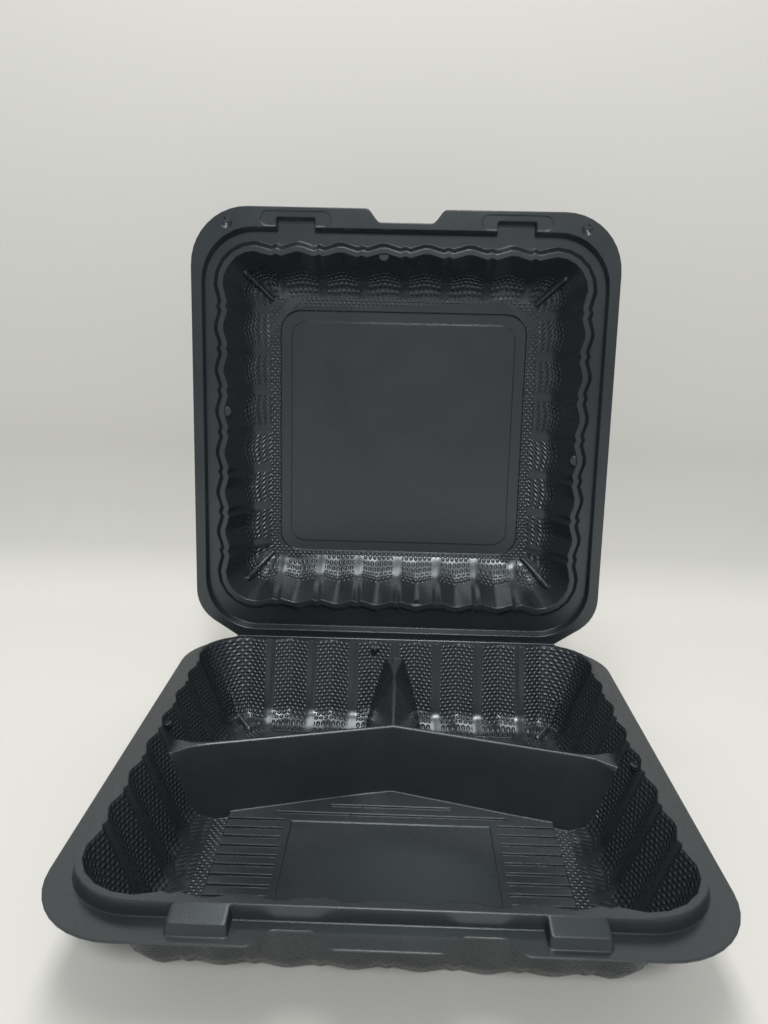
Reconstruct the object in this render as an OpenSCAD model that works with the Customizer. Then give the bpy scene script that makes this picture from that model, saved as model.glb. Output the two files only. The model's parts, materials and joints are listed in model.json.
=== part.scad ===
// Hinged clamshell food container with three compartments, pressed from one plastic sheet.
// The tray stands on its base with the origin under its middle, and the lid is held open.

/* [Tray] */
// Width of the cavity at the rim, between the grooves of its walls
cavity_w = 204.4; // [190:0.2:220]
// Depth of the cavity at the rim, front to back
cavity_d = 202.4; // [190:0.2:220]
// Height of the tray
tray_h = 43.6; // [38:0.2:60]
// Thickness of the plastic sheet
sheet_t = 0.65; // [0.5:0.05:0.9]
// Corner radius of the cavity at the rim
rim_r = 21.3; // [18:0.1:24]
// How far the tray's wall leans in from the rim to its foot
wall_in = 12.7; // [9:0.1:15]
// Height of the foot of the wall, where the sloping heel starts
heel_h = 9; // [7:0.5:11]
// How far the heel leans in below the wall
heel_in = 10; // [8:0.5:11]

/* [Flutes] */
// Grooves along each wall
flutes = 7; // [5:1:8]
// Width of a groove at the rim
groove_w = 5.2; // [3:0.1:6]
// Depth of a groove
groove_d = 1; // [0.5:0.1:1.5]
// How far the panels between the grooves bow outwards
bow = 2.2; // [1:0.1:2.8]
// Width of the rounded crown of a bowed panel
crown_w = 3; // [2:0.5:5]

/* [Rim] */
// Width of the flat ledge round the cavity
ledge_w = 4.7; // [4:0.1:6]
// Height of the sealing ridge over the flange
ridge_h = 5.15; // [4:0.05:6]
// How far the ridge's outer wall slopes out to the flange
ridge_draft = 0.8; // [0.4:0.1:1.2]
// Flange at the sides, from the cavity to its edge
side_border = 12.8; // [11:0.1:18]
// Flange at the front, from the cavity to its edge
front_border = 16.3; // [15.8:0.1:20]
// Flange at the back, from the cavity to the hinge
hinge_border = 16.5; // [15:0.1:22]
// Corner radius of the flange
flange_r = 31; // [26:0.5:34]
// Length of the hinge along the back edge
hinge_len = 184; // [150:1:190]

/* [Lid] */
// Depth of the lid under its flange
lid_h = 30; // [24:0.5:36]
// Flange at the lid's front, from the cavity to its edge
lid_front_border = 18.8; // [17:0.1:22]
// Corner radius of the lid's flange beside the hinge
lid_hinge_r = 22; // [18:0.5:26]
// How far the lid's wall leans in from the lip to its heel
lid_wall_in = 8.3; // [6:0.1:11]
// Depth of the lid's heel
lid_heel_h = 10; // [7:0.5:12]
// How far the lid's heel leans in
lid_heel_in = 11.5; // [8:0.5:12.5]
// Height of the lid's plug lip over the band round it
lip_h = 3.1; // [2:0.1:4]
// How far the lip's outer side slopes in
lip_draft = 2.7; // [2:0.1:3.5]
// Width of the flat top of the lip
lip_w = 2.8; // [2:0.1:4]
// Free space between the closed lip and the cavity's wall
lip_gap = 0.4; // [0.2:0.05:0.8]
// Angle that the lid is open, counted from closed
open_angle = 93.7; // [0:0.1:180]

/* [Panels] */
// Width of the square panel in the lid's ceiling, which the floor panel of the next tray fits over
panel_w = 142.4; // [130:0.2:143]
// Corner radius of the square panel
panel_r = 12; // [8:0.5:16]
// How far the panels sit behind the middle of the cavity
panel_y = 2.2; // [0:0.1:3]
// Free space round the lid's panel under a tray that stands on it
stack_gap = 0.5; // [0.3:0.1:1]
// How far the floor panel stands up from the heel
floor_rise = 2.55; // [1.5:0.05:3.5]
// How far the ceiling panel steps out of the lid
ceiling_step = 1.6; // [1:0.1:2.4]
// Width of the frame round the ceiling panel
frame_w = 6.7; // [5:0.1:9]

/* [Grips in the floor] */
// Spacing of the short grooves beside the floor's middle field
comb_pitch = 6.15; // [4:0.05:8]
// Half width of the middle field, where the short grooves end
comb_x = 47.2; // [40:0.1:60]
// Width of each groove
slot_w = 1.9; // [1:0.1:2.5]
// Depth of each groove
slot_d = 1.2; // [0.6:0.1:1.6]

/* [Divider] */
// Height of the divider's crest
divider_h = 33; // [26:0.5:36]
// Width of the crest
crest_w = 2.5; // [2:0.1:4]
// Where the crest's front edge crosses the middle of the tray
crest_y = 27.5; // [15:0.5:35]
// How far the crest falls back towards the side walls, for each unit of width
crest_sweep = 0.253; // [0.15:0.005:0.32]
// How far each face leans out from the crest to the floor
face_lean = 7.2; // [5:0.1:10]
// How much more the faces lean out at the side walls
face_flare = 2.6; // [0:0.1:4]
// Half width that the flared ends of the crest reach at the walls
crest_end = 6.2; // [4:0.1:8]
// How far each side of the back divider leans out
back_lean = 12.8; // [9:0.1:15]

/* [Fastening] */
// Distance of each latch from the middle
latch_x = 58.7; // [50:0.1:64]
// Width of a latch bump at its top
latch_w = 18.6; // [15:0.1:22]
// Length of a latch bump, from the ledge to its front foot
latch_len = 9; // [8:0.1:9.6]
// Free space between a bump and its pocket
latch_gap = 0.7; // [0.5:0.05:1.2]
// Distance of each finger notch of the tray from the middle
notch_x = 29.5; // [26:0.5:34]
// Width of a finger notch at the flange's edge
notch_w = 24; // [18:0.5:26]
// Depth of the finger notches
notch_d = 7; // [5:0.1:8]
// Width of the notch in the lid's front edge
lid_notch_w = 40; // [30:0.5:48]

/* [Hidden] */
$fn = 32;
BLACK = [0.06, 0.065, 0.07];

// Heights of the flange, the hinge axis and the lid's steps, counted from the hinge in the lid
hinge_gap = 0.35;
hinge_cut = 0.3;
band_gap = 0.5;
flange_z = tray_h - ridge_h;
hinge_z = flange_z + hinge_gap;
hinge_y = cavity_d / 2 + hinge_border;
band_z = -(ridge_h - hinge_gap + band_gap);
lip_z = band_z + lip_h;
floor_z = sheet_t + floor_rise;
frame_z = -lid_h - ceiling_step;
panel_back = 0.6;

// The origin lies under the middle of the open container
lid_reach = hinge_y - panel_y + panel_w / 2;
back_edge = hinge_y - lid_reach * cos(open_angle) + (sheet_t - frame_z) * sin(open_angle);
origin_y = (back_edge - cavity_d / 2 - front_border) / 2;

// How far the forms reach past the sheet that is cut from them
over = 8;
spread = 5;

// Each side is shared out between its grooves
pitch_x = (cavity_w - 2 * rim_r) / flutes;
pitch_y = (cavity_d - 2 * rim_r) / flutes;
corner_steps = 5;

// Corners of the flanges beside the hinge stand back from it
tray_shoulder = 3.7;
lid_shoulder = 5.2;
notch_steps = 6;

// Nesting lugs, corner bars and the sunk field in the floor
lug_r = 2.8;
lug_tip = 1.2;
lug_h = 6;
lug_drop = 3.2;
bar_r = 1.8;
field_d = 0.35;
field_edge = 3.2;
slot_reach = 3;
comb_start = 25.2;
mid_slots = [[27.7, 12.1], [51.5, 5.7]];
back_slot = [0.62 * panel_w / 2, 0.9 * panel_w / 2];

// Length over which the dividers flare out to the walls, and the softening of their crests
flare_run = 14;
crest_rise = 3.5;
rear_drop = 0.3;
crest_soft = 0.6;

// Latches, the channel that the ridge closes into, and the marks on the lid's flange
latch_h = 3.5;
latch_slope = 1.9;
latch_draft = 0.7;
latch_edge = 1.2;
latch_root = 1;
latch_drop = 0.2;
channel_gap = 1.8;
channel_near = 4.5;
channel_slope = 1.6;
channel_front = 4.3;
tab_r = 3.8;
tab_d = 0.5;
tab_reach = 15;
tab_in = 0.8;
nub_x = cavity_w / 2 - 6.7;
nub_r = 3.75;
nub_in = nub_r - 0.35;
nub_lift = 2.25;
frame_slope = 0.5;

// One wall level is [lean in from the rim, height, corner radius, groove depth, bow]
heel_r = 6;
mid_r = 8.5;
wall_r = 10.5;
tray_up = 1 + over / (tray_h - heel_h);
tray_levels = [
    [wall_in + heel_in, sheet_t, heel_r, 0, 0],
    [wall_in + 0.32 * heel_in, sheet_t + 0.35 * heel_h, mid_r, 0.7 * groove_d, 0.75 * bow],
    [wall_in, heel_h, wall_r, groove_d, bow],
    [wall_in * (1 - tray_up), tray_h + over, wall_r + (rim_r - wall_r) * tray_up, groove_d, bow]
];
lip_in = lip_gap + lip_draft;
lid_rim_in = lip_in + lip_w;
lid_rim_r = rim_r - lid_rim_in;
lid_foot = lid_heel_h - lid_h;
lid_up = 1 + over / (lip_z - lid_foot);
lid_foot_in = lid_rim_in + lid_wall_in;
lid_levels = [
    [lid_foot_in + lid_heel_in, -lid_h, heel_r - 2, 0, 0],
    [lid_foot_in + 0.35 * lid_heel_in, 0.45 * lid_heel_h - lid_h, mid_r - 1, 0.7 * groove_d, 0.6 * bow],
    [lid_foot_in, lid_foot, wall_r, groove_d, bow],
    [lid_foot_in - lid_wall_in * lid_up, lip_z + over, wall_r + (lid_rim_r - wall_r) * lid_up, groove_d, bow]
];
lip_low = lip_gap - over * lip_draft / lip_h;
lip_levels = [
    [lip_low, band_z - over, rim_r - lip_low, groove_d, bow],
    [lip_in, lip_z, rim_r - lip_in, groove_d, bow]
];

// Points along one side of a wall, as [place along it, distance outwards]
function side_points(half, pitch, groove, rise) =
    let (fit = min(1, (half - 1) / (pitch * (flutes - 1) / 2 + groove_w / 2)))
    [for (i = [0:flutes - 1]) let (s = (i - (flutes - 1) / 2) * pitch) each concat(
        [for (p = [[-0.5, 0], [0, groove], [0.5, 0]]) [(s + p[0] * groove_w) * fit, p[1]]],
        i == flutes - 1 ? [] : [for (p = [-0.5, 0.5]) [(s + pitch / 2 + p * crown_w) * fit, rise]]
    )];

function corner_points(x, y, r, start, z) =
    [for (i = [0:corner_steps]) let (a = start + 90 * i / corner_steps) [x + r * cos(a), y + r * sin(a), z]];

// Closed ring of points round the cavity at one wall level
function ring(level) =
    let (
        a = cavity_w / 2 - level[0], b = cavity_d / 2 - level[0],
        z = level[1], r = level[2], bend = r + level[4],
        front = side_points(a - r, pitch_x, level[3], level[4]),
        side = side_points(b - r, pitch_y, level[3], level[4])
    )
    concat(
        [for (p = front) [p[0], -b - p[1], z]], corner_points(a - r, r - b, bend, -90, z),
        [for (p = side) [a + p[1], p[0], z]], corner_points(a - r, b - r, bend, 0, z),
        [for (p = front) [-p[0], b + p[1], z]], corner_points(r - a, b - r, bend, 90, z),
        [for (p = side) [-a - p[1], -p[0], z]], corner_points(r - a, r - b, bend, 180, z)
    );

// Unit normal of the wall between two levels, pointing out of the ring when the wall rises
function wall_normal(low, high) =
    let (out = low[0] - high[0], up = high[1] - low[1]) [up, -out] / norm([out, up]);

// The levels of a wall that lies k further along its normals; first and last stand for what joins its ends
function moved(levels, k, first, last) =
    [for (i = [0:len(levels) - 1]) let (
        l = levels[i],
        below = i > 0 ? wall_normal(levels[i - 1], l) : is_undef(first) ? wall_normal(l, levels[1]) : first,
        above = i < len(levels) - 1 ? wall_normal(l, levels[i + 1]) : is_undef(last) ? below : last,
        step = k * (below + above) / (1 + below * above)
    ) [l[0] - step[0], l[1] + step[1], l[2] + step[0], l[3], l[4]]];

// Solid through a row of rings that have as many points each
module skin(rings) {
    n = len(rings[0]);
    top = n * (len(rings) - 1);
    sides = [for (j = [0:len(rings) - 2], i = [0:n - 1])
        let (a = j * n + i, b = j * n + (i + 1) % n) each [[a, a + n, b + n], [a, b + n, b]]];
    polyhedron(
        points = [for (r = rings) each r],
        faces = concat([[for (i = [0:n - 1]) i]], [[for (i = [n - 1:-1:0]) top + i]], sides)
    );
}

// Solid through a stack of wall levels
module loft(levels) {
    skin([for (l = levels) ring(l)]);
}

// Corners of a level slice, given as [half width, front, back, corner radius, height]
module slice(s, inwards) {
    for (x = [-1, 1], y = [s[1] + s[3], s[2] - s[3]])
        translate([x * (s[0] - s[3]), y, s[4]])
            mirror([0, 0, inwards < 0 ? 1 : 0])
                cylinder(h = 0.01, r1 = s[3], r2 = 0);
}

function level_square(half, r, z) = [half, -half, half, r, z];

// Block between two such slices
module block(low, high) {
    hull() {
        slice(low, 1);
        slice(high, -1);
    }
}

// Cut in a flange's edge with soft flanks, from y = 0 inwards
module edge_notch(w) {
    flank = [for (i = [0:notch_steps]) let (t = i / notch_steps)
        [w / 2 + (0.2 - 1.1 * t) * notch_d, notch_d * (1 - cos(180 * t)) / 2]];
    polygon(concat(
        [[-w / 2 - 0.2 * notch_d, -1], [w / 2 + 0.2 * notch_d, -1]],
        flank,
        [for (i = [notch_steps:-1:0]) [-flank[i][0], flank[i][1]]]
    ));
}

// Flat shape of the tray's flange, with its two finger notches
module tray_outline() {
    x = cavity_w / 2 + side_border - flange_r;
    front = -cavity_d / 2 - front_border;
    difference() {
        hull() {
            for (s = [-1, 1], y = [front + flange_r, hinge_y - flange_r - tray_shoulder])
                translate([s * x, y]) circle(flange_r, $fn = 40);
            translate([-hinge_len / 2, hinge_y - hinge_cut - 1]) square([hinge_len, 1]);
        }
        for (s = [-1, 1])
            translate([s * notch_x, front]) edge_notch(notch_w);
    }
}

// Flat shape of the lid's flange, drawn from the hinge at y = 0 to the notch in its far edge
module lid_outline() {
    half = cavity_w / 2 + side_border;
    far = hinge_y + cavity_d / 2 + lid_front_border;
    difference() {
        hull() {
            for (s = [-1, 1]) {
                translate([s * (half - flange_r), far - flange_r])
                    circle(flange_r, $fn = 40);
                translate([s * (half - lid_hinge_r), lid_hinge_r + lid_shoulder])
                    circle(lid_hinge_r, $fn = 40);
            }
            translate([-hinge_len / 2, hinge_cut]) square([hinge_len, 1]);
        }
        translate([0, far]) mirror([0, 1]) edge_notch(lid_notch_w);
    }
}

// Section of a divider, as [across, up], with a softened crest
function divider_section(front, back, top, lean, k) =
    let (low = -over - k, run = lean * (top - low) / (divider_h - floor_z), soft = crest_soft - k / 2)
    [
        [front + k - run, low], [front + k, top - soft - k], [front + soft + k, top - k],
        [back - soft - k, top - k], [back - k, top - soft - k], [back - k + run, low]
    ];

// Section of the chevron divider at a distance x from the middle
function cross_ring(x, widen, k) =
    let (
        lean = face_lean + face_flare * abs(x) / (cavity_w / 2),
        y = crest_y - crest_sweep * abs(x)
    )
    [for (p = divider_section(y - widen, y + crest_w + widen, divider_h, lean, k)) [x, p[0], p[1]]];

// Section of the back divider at a place y
function rear_ring(y, widen, rise, k) =
    let (half = crest_w / 2 + widen)
    [for (p = divider_section(-half, half, divider_h + rise, back_lean, k)) [p[0], y, p[1]]];

// Chevron divider across the tray and the short one behind it, both flared where they meet a wall
module dividers(k) {
    wall_at_crest = wall_in * (tray_h - divider_h) / (tray_h - heel_h);
    side = cavity_w / 2 - wall_at_crest - 1;
    back = cavity_d / 2 - wall_at_crest;
    flare = crest_end - crest_w / 2;
    half = [
        [side + spread, flare], [side, flare], [side - flare_run / 2, 0.2 * flare], [side - flare_run, 0]
    ];
    skin([
        for (s = half) cross_ring(s[0], s[1], k),
        cross_ring(0, 0, k),
        for (i = [len(half) - 1:-1:0]) cross_ring(-half[i][0], half[i][1], k)
    ]);
    skin([
        rear_ring(crest_y + crest_w / 2, 0, -rear_drop, k),
        rear_ring(back - flare_run, 0, -rear_drop, k),
        rear_ring(back - flare_run / 2, 0.25 * flare, 0.3 * crest_rise, k),
        rear_ring(back + spread, flare, crest_rise, k)
    ]);
}

// Small half-round lugs in the walls, which keep nested containers apart
module lugs(lean, z, k) {
    x = cavity_w / 2 + bow - lean;
    y = cavity_d / 2 + bow - lean;
    for (p = [[-pitch_x / 2, y], [pitch_x / 2, -y], [-x, pitch_y / 2], [x, -pitch_y / 2]])
        translate([p[0], p[1], z - lug_h])
            cylinder(h = lug_h - k, r1 = lug_tip - k, r2 = lug_r - k, $fn = 12);
}

// Middle of a corner's arc at a wall level, moved out by some distance and up by another
function corner_spot(level, out, up) =
    let (r = (level[2] + level[4] + out) * cos(45))
    [cavity_w / 2 - level[0] - level[2] + r, cavity_d / 2 - level[0] - level[2] + r, level[1] + up];

// Diagonal bars that stiffen the corners of a cavity, laid over the heel
module corner_bars(levels, k) {
    wall = levels[2] + (levels[3] - levels[2]) * 0.2;
    crest = [
        corner_spot(wall, -bar_r / 3, 0),
        corner_spot(levels[1], 0, bar_r / 2),
        corner_spot(levels[0], bar_r / 2, bar_r / 3)
    ];
    for (x = [0, 1], y = [0, 1], i = [0, 1])
        mirror([x, 0, 0]) mirror([0, y, 0]) hull()
            for (p = [crest[i], crest[i + 1]], root = [0, 2 * bar_r])
                translate(p + [root, root, -root]) sphere(r = bar_r - k, $fn = 8);
}

// Straight groove sunk into a floor at height z, from x1 to x2
module slot(x1, x2, y, z, k) {
    translate([min(x1, x2) - k, y - slot_w / 2 - k, z - slot_d - k])
        cube([abs(x2 - x1) + 2 * k, slot_w + 2 * k, over]);
}

// Raised square in the tray's floor, hollow underneath so that a lid's panel stacks into it
floor_half = panel_w / 2 + sheet_t + stack_gap;
module floor_panel(k) {
    half = floor_half - k;
    translate([0, panel_y, 0])
        block(
            level_square(half + floor_rise, panel_r, -over - k),
            level_square(half, panel_r - k, floor_z - k)
        );
}

// Grooves in the floor panel and the sunk field in the middle of its front half
module floor_grooves(k) {
    first = crest_y - face_lean - comb_start;
    front = panel_y - floor_half;
    for (s = [-1, 1], y = [first:-comb_pitch:front + slot_w])
        slot(s * comb_x, s * (floor_half + slot_reach), y, floor_z, k);
    for (line = mid_slots)
        slot(-line[0], line[0], first + line[1], floor_z, k);
    for (s = [-1, 1])
        slot(s * back_slot[0], s * back_slot[1], panel_y + floor_half - slot_w, floor_z, k);
    translate([field_edge - comb_x - k, front + field_edge - k, floor_z - field_d - k])
        cube([2 * (comb_x - field_edge + k), first - front - field_edge + 2 * k, over]);
}

// Latch bump on the front flange, falling forwards from the ridge
module latch_bump(k) {
    y = -cavity_d / 2 - ledge_w + k;
    front = y - latch_len;
    back = y + 3 * latch_edge;
    half = latch_w / 2 - k;
    r = latch_edge - k;
    hull() {
        slice([half + latch_draft, front, back, r, flange_z - latch_root - k], 1);
        slice([half, front + latch_slope, back, r, flange_z + latch_h - k], -1);
        slice([half, y, back, r, tray_h - latch_drop - k], -1);
    }
}

// Everything under the tray's upper face, with that face moved k inwards
module tray_form(k, wider) {
    ridge_x = cavity_w / 2 + ledge_w - k;
    ridge_y = cavity_d / 2 + ledge_w - k;
    ridge_r = rim_r + ledge_w - k;
    foot_y = ridge_y + ridge_draft;
    difference() {
        union() {
            difference() {
                union() {
                    translate([0, 0, -over - k]) linear_extrude(flange_z + over)
                        offset(delta = wider) tray_outline();
                    block(
                        [ridge_x + ridge_draft, -foot_y, foot_y, ridge_r, flange_z - k],
                        [ridge_x, -ridge_y, ridge_y, ridge_r, tray_h - k]
                    );
                    for (s = [-1, 1])
                        translate([s * latch_x, 0, 0]) latch_bump(k, $fn = 16);
                }
                loft(moved(tray_levels, k, [0, -1], undef));
            }
            dividers(k);
            floor_panel(k);
            corner_bars(tray_levels, k);
            lugs(wall_in * lug_drop / (tray_h - heel_h), tray_h - lug_drop, k);
        }
        floor_grooves(k);
    }
}

// Sunk nubs at the corners and half-round tabs beside the latches, in the lid's front flange
module flange_marks(k) {
    y = hinge_y + cavity_d / 2 + ledge_w + latch_len;
    for (s = [-1, 1]) {
        translate([s * nub_x, y - nub_in, nub_lift - hinge_gap])
            sphere(r = nub_r + k, $fn = 16);
        hull()
            for (x = [-tab_reach, tab_reach])
                translate([s * latch_x + x, y - tab_in, -hinge_gap - tab_d - k])
                    cylinder(h = over, r = tab_r + k, $fn = 16);
    }
}

// Pocket of the lid's flange that a latch bump snaps into
module latch_pocket(k) {
    y = hinge_y + cavity_d / 2 + ledge_w;
    half = latch_w / 2 + latch_gap + k;
    reach = y + latch_len + latch_gap + k;
    block(
        [half, y - channel_slope, reach - latch_slope, latch_edge + k, band_z - k],
        [half + 2 * latch_draft, y - channel_slope, reach + latch_slope, latch_edge + k, over]
    );
}

// Everything under the inner face of the lid, lying open flat, with that face moved k inwards
module lid_form(k, wider) {
    channel_x = cavity_w / 2 + ledge_w + channel_gap + k;
    channel_far = hinge_y + cavity_d / 2 + ledge_w + channel_gap + k;
    channel_r = rim_r + ledge_w + channel_gap + k;
    mid = hinge_y - panel_y;
    half = panel_w / 2;
    difference() {
        union() {
            difference() {
                translate([0, 0, -lid_h - over - k]) linear_extrude(lid_h + over - hinge_gap)
                    offset(delta = wider) lid_outline();
                block(
                    [channel_x, channel_near + 1 - k, channel_far, channel_r, band_z - k],
                    [
                        channel_x + channel_slope, channel_near - channel_slope - k,
                        channel_far + channel_front, channel_r + channel_slope, -band_z
                    ]
                );
                for (s = [-1, 1])
                    translate([s * latch_x, 0, 0]) latch_pocket(k);
                flange_marks(k);
            }
            translate([0, hinge_y, 0]) loft(moved(lip_levels, -k, undef, [0, 1]));
        }
        difference() {
            union() {
                translate([0, hinge_y, 0]) loft(moved(lid_levels, k, [0, -1], undef));
                translate([0, mid, 0]) block(
                    level_square(half - frame_slope + k, panel_r, frame_z - k),
                    level_square(half + k, panel_r, frame_slope - lid_h)
                );
            }
            translate([0, mid, 0]) block(
                level_square(half - frame_w + 1 - k, panel_r - 4, frame_z - over),
                level_square(half - frame_w - k, panel_r - 4, frame_z + panel_back - k)
            );
            translate([0, hinge_y, 0]) {
                corner_bars(lid_levels, k);
                lugs(lid_rim_in + 1, lip_z - 1, k);
            }
        }
    }
}

// Tray with its three compartments
module base_tray() {
    color(BLACK) translate([0, -origin_y, 0]) difference() {
        tray_form(0, 0);
        tray_form(sheet_t, spread);
    }
}

// Lid, swung up about the hinge line at the tray's back edge
module lid() {
    color(BLACK) translate([0, hinge_y - origin_y, hinge_z]) rotate([180 - open_angle, 0, 0]) difference() {
        lid_form(0, 0);
        lid_form(sheet_t, spread);
    }
}

base_tray();
lid();
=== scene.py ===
import json
import math
import bmesh
import bpy
import numpy as np
from mathutils import Matrix, Vector


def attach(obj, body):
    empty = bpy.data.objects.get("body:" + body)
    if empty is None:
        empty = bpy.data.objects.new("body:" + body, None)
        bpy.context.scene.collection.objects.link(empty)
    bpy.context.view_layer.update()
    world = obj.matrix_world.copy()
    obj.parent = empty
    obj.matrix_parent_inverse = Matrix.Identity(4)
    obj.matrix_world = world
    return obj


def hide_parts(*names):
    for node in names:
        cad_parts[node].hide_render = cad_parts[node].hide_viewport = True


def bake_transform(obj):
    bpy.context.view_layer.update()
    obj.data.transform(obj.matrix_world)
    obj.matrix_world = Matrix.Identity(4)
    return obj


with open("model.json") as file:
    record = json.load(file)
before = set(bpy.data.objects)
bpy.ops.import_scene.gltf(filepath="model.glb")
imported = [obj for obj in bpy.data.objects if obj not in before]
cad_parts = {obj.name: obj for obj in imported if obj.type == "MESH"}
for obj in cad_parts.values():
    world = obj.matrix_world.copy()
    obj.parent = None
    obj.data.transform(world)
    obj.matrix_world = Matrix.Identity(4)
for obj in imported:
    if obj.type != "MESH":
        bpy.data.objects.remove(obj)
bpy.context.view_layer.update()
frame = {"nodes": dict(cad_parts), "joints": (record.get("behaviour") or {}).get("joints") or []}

# the camera stands where the photograph was taken

photoView = {
    "place": (-0.000147, -0.343654, 0.225099),
    "down": 14.078,       # degrees below the horizon
    "turn": -1.049,       # degrees to the right of +Y
    "roll": 1.26,
    "lens": 28.594,
    "sensor": 36.0,
    "nearest": 0.01,
}


def addCamera(view):
    down, turn, roll = (math.radians(view[k]) for k in ("down", "turn", "roll"))
    ahead = Vector((math.sin(turn) * math.cos(down), math.cos(turn) * math.cos(down), -math.sin(down)))
    level = Vector((math.cos(turn), -math.sin(turn), 0))
    over = level.cross(ahead)
    right = math.cos(roll) * level + math.sin(roll) * over
    up = math.cos(roll) * over - math.sin(roll) * level
    bpy.ops.object.camera_add(location=view["place"])
    camera = bpy.context.object
    camera.rotation_euler = Matrix((right, up, -ahead)).transposed().to_euler()
    camera.data.lens = view["lens"]
    camera.data.sensor_width = view["sensor"]
    camera.data.clip_start = view["nearest"]
    bpy.context.scene.camera = camera


addCamera(photoView)
print("camera is in place")

# editing and material helpers


def pickOnly(obj):
    bpy.ops.object.select_all(action="DESELECT")
    obj.select_set(True)
    bpy.context.view_layer.objects.active = obj


def openEdit(obj):
    pickOnly(obj)
    bpy.ops.object.mode_set(mode="EDIT")
    bpy.ops.mesh.select_all(action="DESELECT")


def pickEdges(obj, wanted):
    mesh = bmesh.from_edit_mesh(obj.data)
    bpy.ops.mesh.select_mode(type="EDGE")
    for edge in mesh.edges:
        edge.select_set(wanted((edge.verts[0].co + edge.verts[1].co) / 2))
    mesh.select_flush_mode()
    bmesh.update_edit_mesh(obj.data)


def closeEdit():
    bpy.ops.object.mode_set(mode="OBJECT")


def finishModifier(obj, kind, **settings):
    pickOnly(obj)
    bpy.ops.object.modifier_add(type=kind)
    modifier = obj.modifiers[-1]
    for name, value in settings.items():
        setattr(modifier, name, value)
    bpy.ops.object.modifier_apply(modifier=modifier.name)


def addNode(tree, kind, inputs=None, **settings):
    node = tree.nodes.new(kind)
    for name, value in settings.items():
        setattr(node, name, value)
    for name, value in (inputs or {}).items():
        if isinstance(value, bpy.types.NodeSocket):
            tree.links.new(value, node.inputs[name])
        else:
            node.inputs[name].default_value = value
    return node


def calc(tree, operation, *values, clamp=False):
    node = addNode(tree, "ShaderNodeMath", operation=operation, use_clamp=clamp)
    for socket, value in zip(node.inputs, values):
        if isinstance(value, bpy.types.NodeSocket):
            tree.links.new(value, socket)
        else:
            socket.default_value = value
    return node.outputs[0]


def newMaterial(name):
    material = bpy.data.materials.new(name)
    material.use_nodes = True
    return material, material.node_tree, material.node_tree.nodes["Principled BSDF"]


# pale paper swept up behind the container, with shade painted on it by height (darker in the turn and
# low on the wall, lighter towards the top), and soft light from above

studio = {
    "front": -1.6,
    "back": 0.34,
    "halfWidth": 1.6,
    "height": 0.62,
    "sweep": 0.11,         # radius of the turn from the floor into the wall
    "sweepSegments": 24,
    "paperRoughness": 0.8,
    "paperTint": (1.0, 0.99, 0.95),
    # height on the paper and the tone painted there: painted shade in the turn from the floor and low on
    # the wall, painted light towards the top
    "paintedShadeByHeight": ((0.0, 0.80), (0.03, 0.62), (0.06, 0.60), (0.145, 0.665), (0.26, 0.69), (0.44, 0.745)),
    "sky": (0.93, 0.97, 1.0),
    "skyStrength": 0.36,
    "lamps": (
        # place, target, size, power
        ((-0.06, -0.05, 1.20), (-0.06, -0.049, 0), (0.30, 0.90), 6.5),
        ((0.10, -1.15, 1.10), (0, -0.05, 0.05), (0.25, 0.20), 9.0),
    ),
    "lampColor": (1.0, 0.985, 0.95),
}


def addPaper(settings):
    bpy.ops.mesh.primitive_plane_add(size=1)
    paper = bpy.context.object
    paper.name = "paper_backdrop"
    paper.scale = (2 * settings["halfWidth"], settings["back"] - settings["front"], 1)
    paper.location = (0, (settings["back"] + settings["front"]) / 2, 0)
    bpy.ops.object.transform_apply(location=True, rotation=True, scale=True)
    openEdit(paper)
    slack = 0.001
    atBack = settings["back"] - slack
    pickEdges(paper, lambda p: p.y > atBack)
    bpy.ops.mesh.extrude_region_move(TRANSFORM_OT_translate={"value": (0, 0, settings["height"])})
    pickEdges(paper, lambda p: p.y > atBack and abs(p.z) < slack)
    bpy.ops.mesh.bevel(offset=settings["sweep"], segments=settings["sweepSegments"], affect="EDGES")
    closeEdit()
    pickOnly(paper)
    bpy.ops.object.shade_smooth()
    material, tree, shader = newMaterial("paperWithPaintedShade")
    place = addNode(tree, "ShaderNodeTexCoord").outputs["Object"]
    height = addNode(tree, "ShaderNodeSeparateXYZ", {"Vector": place}).outputs["Z"]
    # the ramp paints shade and light onto the paper by height; the level floor stays evenly pale
    top = settings["paintedShadeByHeight"][-1][0]
    ramp = addNode(tree, "ShaderNodeValToRGB", {"Fac": calc(tree, "DIVIDE", height, top)})
    for i, (level, pale) in enumerate(settings["paintedShadeByHeight"]):
        stops = ramp.color_ramp.elements
        stop = stops[0] if i == 0 else stops.new(level / top) if level < top else stops[-1]
        stop.color = (*[pale * share for share in settings["paperTint"]], 1)
    tree.links.new(ramp.outputs["Color"], shader.inputs["Base Color"])
    shader.inputs["Roughness"].default_value = settings["paperRoughness"]
    # seen from behind, the paper lets the view through to the container
    behind = addNode(tree, "ShaderNodeNewGeometry").outputs["Backfacing"]
    clear = addNode(tree, "ShaderNodeBsdfTransparent").outputs[0]
    oneSided = addNode(tree, "ShaderNodeMixShader", {"Fac": behind})
    tree.links.new(shader.outputs[0], oneSided.inputs[1])
    tree.links.new(clear, oneSided.inputs[2])
    tree.links.new(oneSided.outputs[0], tree.nodes["Material Output"].inputs["Surface"])
    paper.data.materials.append(material)


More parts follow.
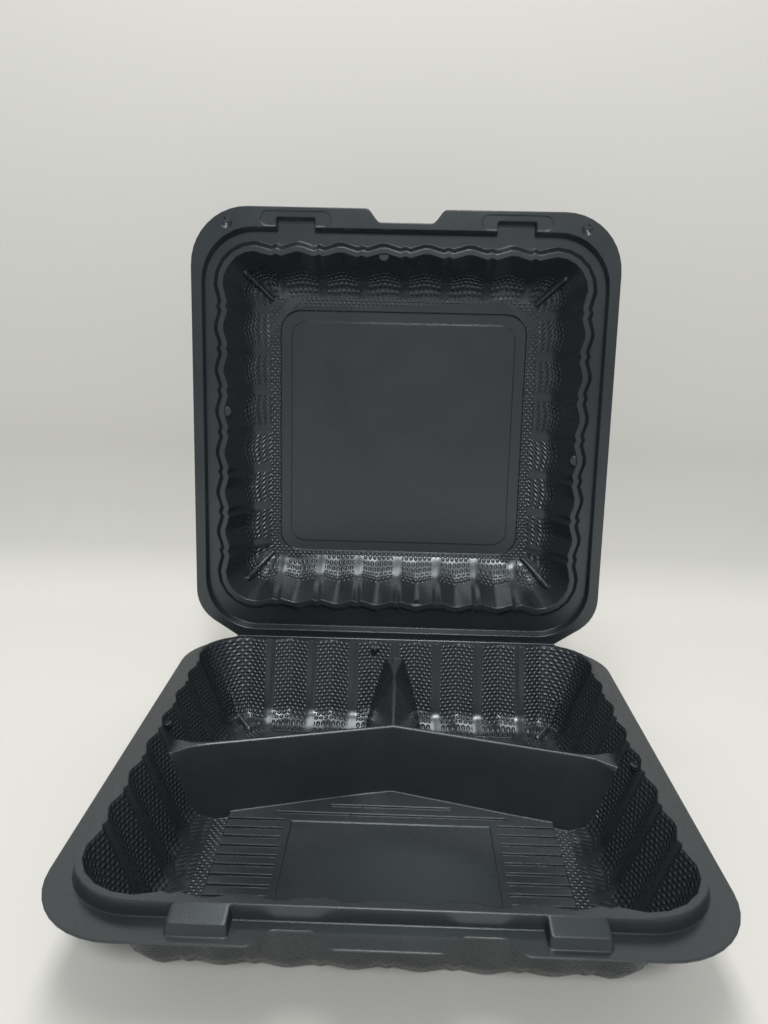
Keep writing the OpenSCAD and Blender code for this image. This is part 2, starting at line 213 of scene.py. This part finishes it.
def addLight(settings):
    for place, target, size, power in settings["lamps"]:
        bpy.ops.object.light_add(type="AREA", location=place)
        lamp = bpy.context.object
        lamp.data.shape = "RECTANGLE"
        lamp.data.size, lamp.data.size_y = size
        lamp.data.energy = power
        lamp.data.color = settings["lampColor"]
        aim = Vector(target) - lamp.location
        lamp.rotation_euler = aim.to_track_quat("-Z", "Y").to_euler()
    world = bpy.data.worlds.new("softSky")
    world.use_nodes = True
    sky = world.node_tree.nodes["Background"]
    sky.inputs["Color"].default_value = (*settings["sky"], 1)
    sky.inputs["Strength"].default_value = settings["skyStrength"]
    bpy.context.scene.world = world


addPaper(studio)
addLight(studio)
bpy.context.scene.view_settings.view_transform = "Standard"
print("paper and light are in place")

# the pressed sheet: a copy of each solid with even shading over its small faces

sheet = {
    "smooth": 32.0,          # degrees between faces that still shade as one
    "weight": 50,            # how much the larger faces lead the shading
    "weld": 0.000001,
}


def pressedCopy(nodeName, pieceName, settings):
    mesh = frame["nodes"][nodeName].data.copy()
    mesh.materials.clear()
    piece = bpy.data.objects.new(pieceName, mesh)
    bpy.context.collection.objects.link(piece)
    pickOnly(piece)
    bpy.ops.mesh.customdata_custom_splitnormals_clear()
    openEdit(piece)
    bpy.ops.mesh.select_all(action="SELECT")
    bpy.ops.mesh.remove_doubles(threshold=settings["weld"])
    closeEdit()
    bpy.ops.object.shade_smooth_by_angle(angle=math.radians(settings["smooth"]))
    finishModifier(piece, "WEIGHTED_NORMAL", keep_sharp=True, weight=settings["weight"])
    print(pieceName, "has", len(mesh.polygons), "triangles")
    return piece


# where the dimples sit: on the panels between the flutes and on the flat rim round each floor,
# with lengths in millimetres

dimples = {
    "across": 2.75,          # between two dimples of a row
    "apart": 1.8,            # between rows
    "fluteHalf": 2.5,
    "corner": 15.0,          # radius that unrolls the corners
    "cavityHalf": (102.2, 101.2),
    "flutePitch": (23.114, 22.829),
    "lastFlute": 3.4,        # counted in flutes from the middle of a side
    "wallBand": (0.8, 2.8),  # middle and half width of the band that counts as wall
    "rimBand": 0.4,
    "rimOutside": 0.5,
    "levelShare": 0.98,      # a face counts as level when this much of it faces up or down
}
trayWall = {
    "middle": -22.2,
    "heights": (0.65, 3.8, 9.0, 43.6),
    "lean": (22.7, 15.9, 12.7, 0.0),
    "radius": (6.0, 8.5, 10.5, 21.3),
    "top": 43.0,
    "rimHeight": 0.4,
    "frameHalf": 75.0,
}
lidWall = {
    "middle": 117.7,
    "heights": (-30.0, -25.5, -20.0, -2.2),
    "lean": (25.7, 18.2, 14.2, 5.9),
    "radius": (4.0, 7.5, 10.5, 15.4),
    "top": -19.9,
    "rimHeight": -30.3,
    "frameHalf": 71.4,
}


def wallPlace(points, wall):
    # how far round the wall a point lies, how far outside it, and how far from a flute
    halfX, halfY = dimples["cavityHalf"]
    pitchX, pitchY = dimples["flutePitch"]
    x, y, z = np.abs(points[:, 0]), np.abs(points[:, 1]), points[:, 2]
    lean, radius = (np.interp(z, wall["heights"], wall[key]) for key in ("lean", "radius"))
    inX, inY = x - halfX + lean + radius, y - halfY + lean + radius
    cornerX, cornerY = np.maximum(inX, 0), np.maximum(inY, 0)
    outside = np.hypot(cornerX, cornerY) + np.minimum(np.maximum(inX, inY), 0) - radius
    straight = halfX - lean - radius
    turned = straight + dimples["corner"] * np.arctan2(cornerX, np.maximum(inY, 1e-6))
    beside = straight + dimples["corner"] * math.pi / 2 + halfY - lean - radius - y
    run = np.where(inX < 0, x, np.where(inY < 0, beside, turned)) * np.sign(points[:, 0] + 1e-9)
    along = np.where(inY > inX, x / pitchX, y / pitchY)
    offFlute = np.abs((along + 0.5) % 1 - 0.5) * pitchX
    return run, outside, np.where(along > dimples["lastFlute"], pitchX, offFlute)


def markDimples(piece, wall, toFlat):
    mesh = piece.data
    count = len(mesh.vertices)
    spots = np.empty(3 * count)
    mesh.vertices.foreach_get("co", spots)
    spots = (np.c_[spots.reshape(-1, 3), np.ones(count)] @ np.array(toFlat).T)[:, :3] * 1000
    spots[:, 1] -= wall["middle"]
    corners = np.empty(len(mesh.loops), int)
    mesh.loops.foreach_get("vertex_index", corners)
    faces = corners.reshape(-1, 3)
    first, second, third = (spots[faces[:, i]] for i in range(3))
    facing = np.cross(second - first, third - first)
    level = np.abs(facing[:, 2]) > dimples["levelShare"] * np.linalg.norm(facing, axis=1)
    centres = spots[faces].mean(axis=1)
    _, outside, offFlute = wallPlace(centres, wall)
    middle, half = dimples["wallBand"]
    onWall = ~level & (offFlute > dimples["fluteHalf"]) & (np.abs(outside - middle) < half)
    onWall &= centres[:, 2] < wall["top"]
    onRim = level & (np.abs(centres[:, 2] - wall["rimHeight"]) < dimples["rimBand"])
    onRim &= outside < dimples["rimOutside"]
    onRim &= np.abs(centres[:, :2]).max(axis=1) > wall["frameHalf"]
    layer = mesh.attributes.new("dimpled", "FLOAT", "FACE")
    layer.data.foreach_set("value", (onWall | onRim).astype(np.float32))
    wrapped = np.c_[wallPlace(spots, wall)[0], spots[:, 2]][corners]
    pairs = np.where(np.repeat(level, 3)[:, None], spots[corners][:, :2], wrapped)
    pairs /= (dimples["across"], dimples["apart"])
    pattern = mesh.uv_layers.new(name="dimplePattern")
    pattern.data.foreach_set("uv", pairs.ravel().astype(np.float32))


# black polypropylene with a satin press finish

plastic = {
    "dark": (0.015, 0.018, 0.020),
    "pale": (0.020, 0.024, 0.027),
    "roughness": (0.24, 0.30),
    "shine": 1.0,
    "shineColor": (0.86, 0.94, 1.0),
    "index": 1.49,
    "edgeRadius": 0.0008,
    "edgeSamples": 4,
    "cloudScale": 35.0,
    "cloudDetail": 4.0,
    "cloudRange": (0.3, 0.7),
    "grainScale": 1600.0,
    "grainDetail": 2.0,
    "grainDepth": 0.00002,
    "dimpleDepth": 0.0004,
    "dimpleHalf": 0.42,      # share of the spacing
}


def domeAcross(tree, place, half):
    offset = calc(tree, "ABSOLUTE", calc(tree, "SUBTRACT", calc(tree, "FRACT", place), 0.5))
    return calc(tree, "POWER", calc(tree, "DIVIDE", offset, half), 2.0)


def dimpleHeight(tree, half):
    # every second row is shifted by half a step
    pattern = addNode(tree, "ShaderNodeUVMap", uv_map="dimplePattern").outputs["UV"]
    cells = addNode(tree, "ShaderNodeSeparateXYZ", {"Vector": pattern}).outputs
    row = calc(tree, "FLOOR", cells["Y"])
    shift = calc(tree, "MULTIPLY", calc(tree, "PINGPONG", row, 1.0), 0.5)
    across = domeAcross(tree, calc(tree, "ADD", cells["X"], shift), half)
    upward = domeAcross(tree, cells["Y"], half)
    dome = calc(tree, "SUBTRACT", 1.0, calc(tree, "ADD", across, upward), clamp=True)
    mask = addNode(tree, "ShaderNodeAttribute", attribute_name="dimpled").outputs["Fac"]
    return calc(tree, "MULTIPLY", dome, mask)


def addBump(tree, height, depth, normal):
    return addNode(tree, "ShaderNodeBump", {
        "Height": height, "Distance": depth, "Strength": 1.0, "Normal": normal}).outputs["Normal"]


def blackPlastic(name, settings):
    material, tree, shader = newMaterial(name)
    place = addNode(tree, "ShaderNodeTexCoord").outputs["Object"]
    cloud = addNode(tree, "ShaderNodeTexNoise", {
        "Vector": place, "Scale": settings["cloudScale"],
        "Detail": settings["cloudDetail"]}).outputs["Fac"]
    tone = addNode(tree, "ShaderNodeMix", {"Factor": cloud}, data_type="RGBA")
    tone.inputs[6].default_value = (*settings["dark"], 1)
    tone.inputs[7].default_value = (*settings["pale"], 1)
    tree.links.new(tone.outputs[2], shader.inputs["Base Color"])
    thin, thick = settings["cloudRange"]
    glossy, dull = settings["roughness"]
    gloss = addNode(tree, "ShaderNodeMapRange", {
        "Value": cloud, "From Min": thin, "From Max": thick, "To Min": glossy, "To Max": dull})
    tree.links.new(gloss.outputs[0], shader.inputs["Roughness"])
    shader.inputs["IOR"].default_value = settings["index"]
    shader.inputs["Specular IOR Level"].default_value = settings["shine"]
    shader.inputs["Specular Tint"].default_value = (*settings["shineColor"], 1)
    edges = addNode(tree, "ShaderNodeBevel", {"Radius": settings["edgeRadius"]},
                    samples=settings["edgeSamples"])
    grain = addNode(tree, "ShaderNodeTexNoise", {
        "Vector": place, "Scale": settings["grainScale"],
        "Detail": settings["grainDetail"]}).outputs["Fac"]
    grained = addBump(tree, grain, settings["grainDepth"], edges.outputs[0])
    dimpled = addBump(tree, dimpleHeight(tree, settings["dimpleHalf"]), settings["dimpleDepth"], grained)
    tree.links.new(dimpled, shader.inputs["Normal"])
    return material


hinge = next(joint for joint in frame["joints"] if joint["name"] == "lid_hinge")
hingePlace = Vector(hinge["pos_m"])
openAngle = math.radians(93.7)
lidToFlat = Matrix.Rotation(openAngle - math.pi, 4, "X") @ Matrix.Translation(-hingePlace)
blackSheet = blackPlastic("blackPolypropylene", plastic)

trayPiece = pressedCopy("base_tray", "tray_sheet", sheet)
markDimples(trayPiece, trayWall, Matrix.Identity(4))
trayPiece.data.materials.append(blackSheet)
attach(trayPiece, "base")
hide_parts("base_tray")

lidPiece = pressedCopy("lid", "lid_sheet", sheet)
markDimples(lidPiece, lidWall, lidToFlat)
lidPiece.data.materials.append(blackSheet)
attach(lidPiece, "lid")
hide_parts("lid")

# the living hinge: a thin strip that runs from the tray's back edge to the lid's edge

hingeStrip = {
    "halfWidth": 0.0918,
    "thick": 0.00032,
    # back and up from the hinge line, in millimetres
    "path": ((-1.1, -0.66), (-0.2, -0.66), (0.25, -0.45), (0.62, 0.0), (0.70, 0.5), (0.66, 1.3)),
    "columns": 24,
    "subdivisions": 2,
}


def addHingeStrip(settings, place, material):
    rows = [Vector((0, y / 1000, z / 1000)) + place for y, z in settings["path"]]
    xs = np.linspace(-settings["halfWidth"], settings["halfWidth"], settings["columns"] + 1)
    spots = [(x, row.y, row.z) for row in rows for x in xs]
    wide = len(xs)
    quads = [(r * wide + c, r * wide + c + 1, (r + 1) * wide + c + 1, (r + 1) * wide + c)
             for r in range(len(rows) - 1) for c in range(wide - 1)]
    mesh = bpy.data.meshes.new("hinge_strip")
    mesh.from_pydata(spots, [], quads)
    strip = bpy.data.objects.new("hinge_strip", mesh)
    bpy.context.collection.objects.link(strip)
    levels = settings["subdivisions"]
    finishModifier(strip, "SUBSURF", levels=levels, render_levels=levels)
    finishModifier(strip, "SOLIDIFY", thickness=settings["thick"], offset=0)
    bpy.ops.object.shade_smooth_by_angle(angle=math.radians(sheet["smooth"]))
    mesh.materials.append(material)
    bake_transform(strip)


addHingeStrip(hingeStrip, hingePlace, blackSheet)
print("hinge strip is in place")
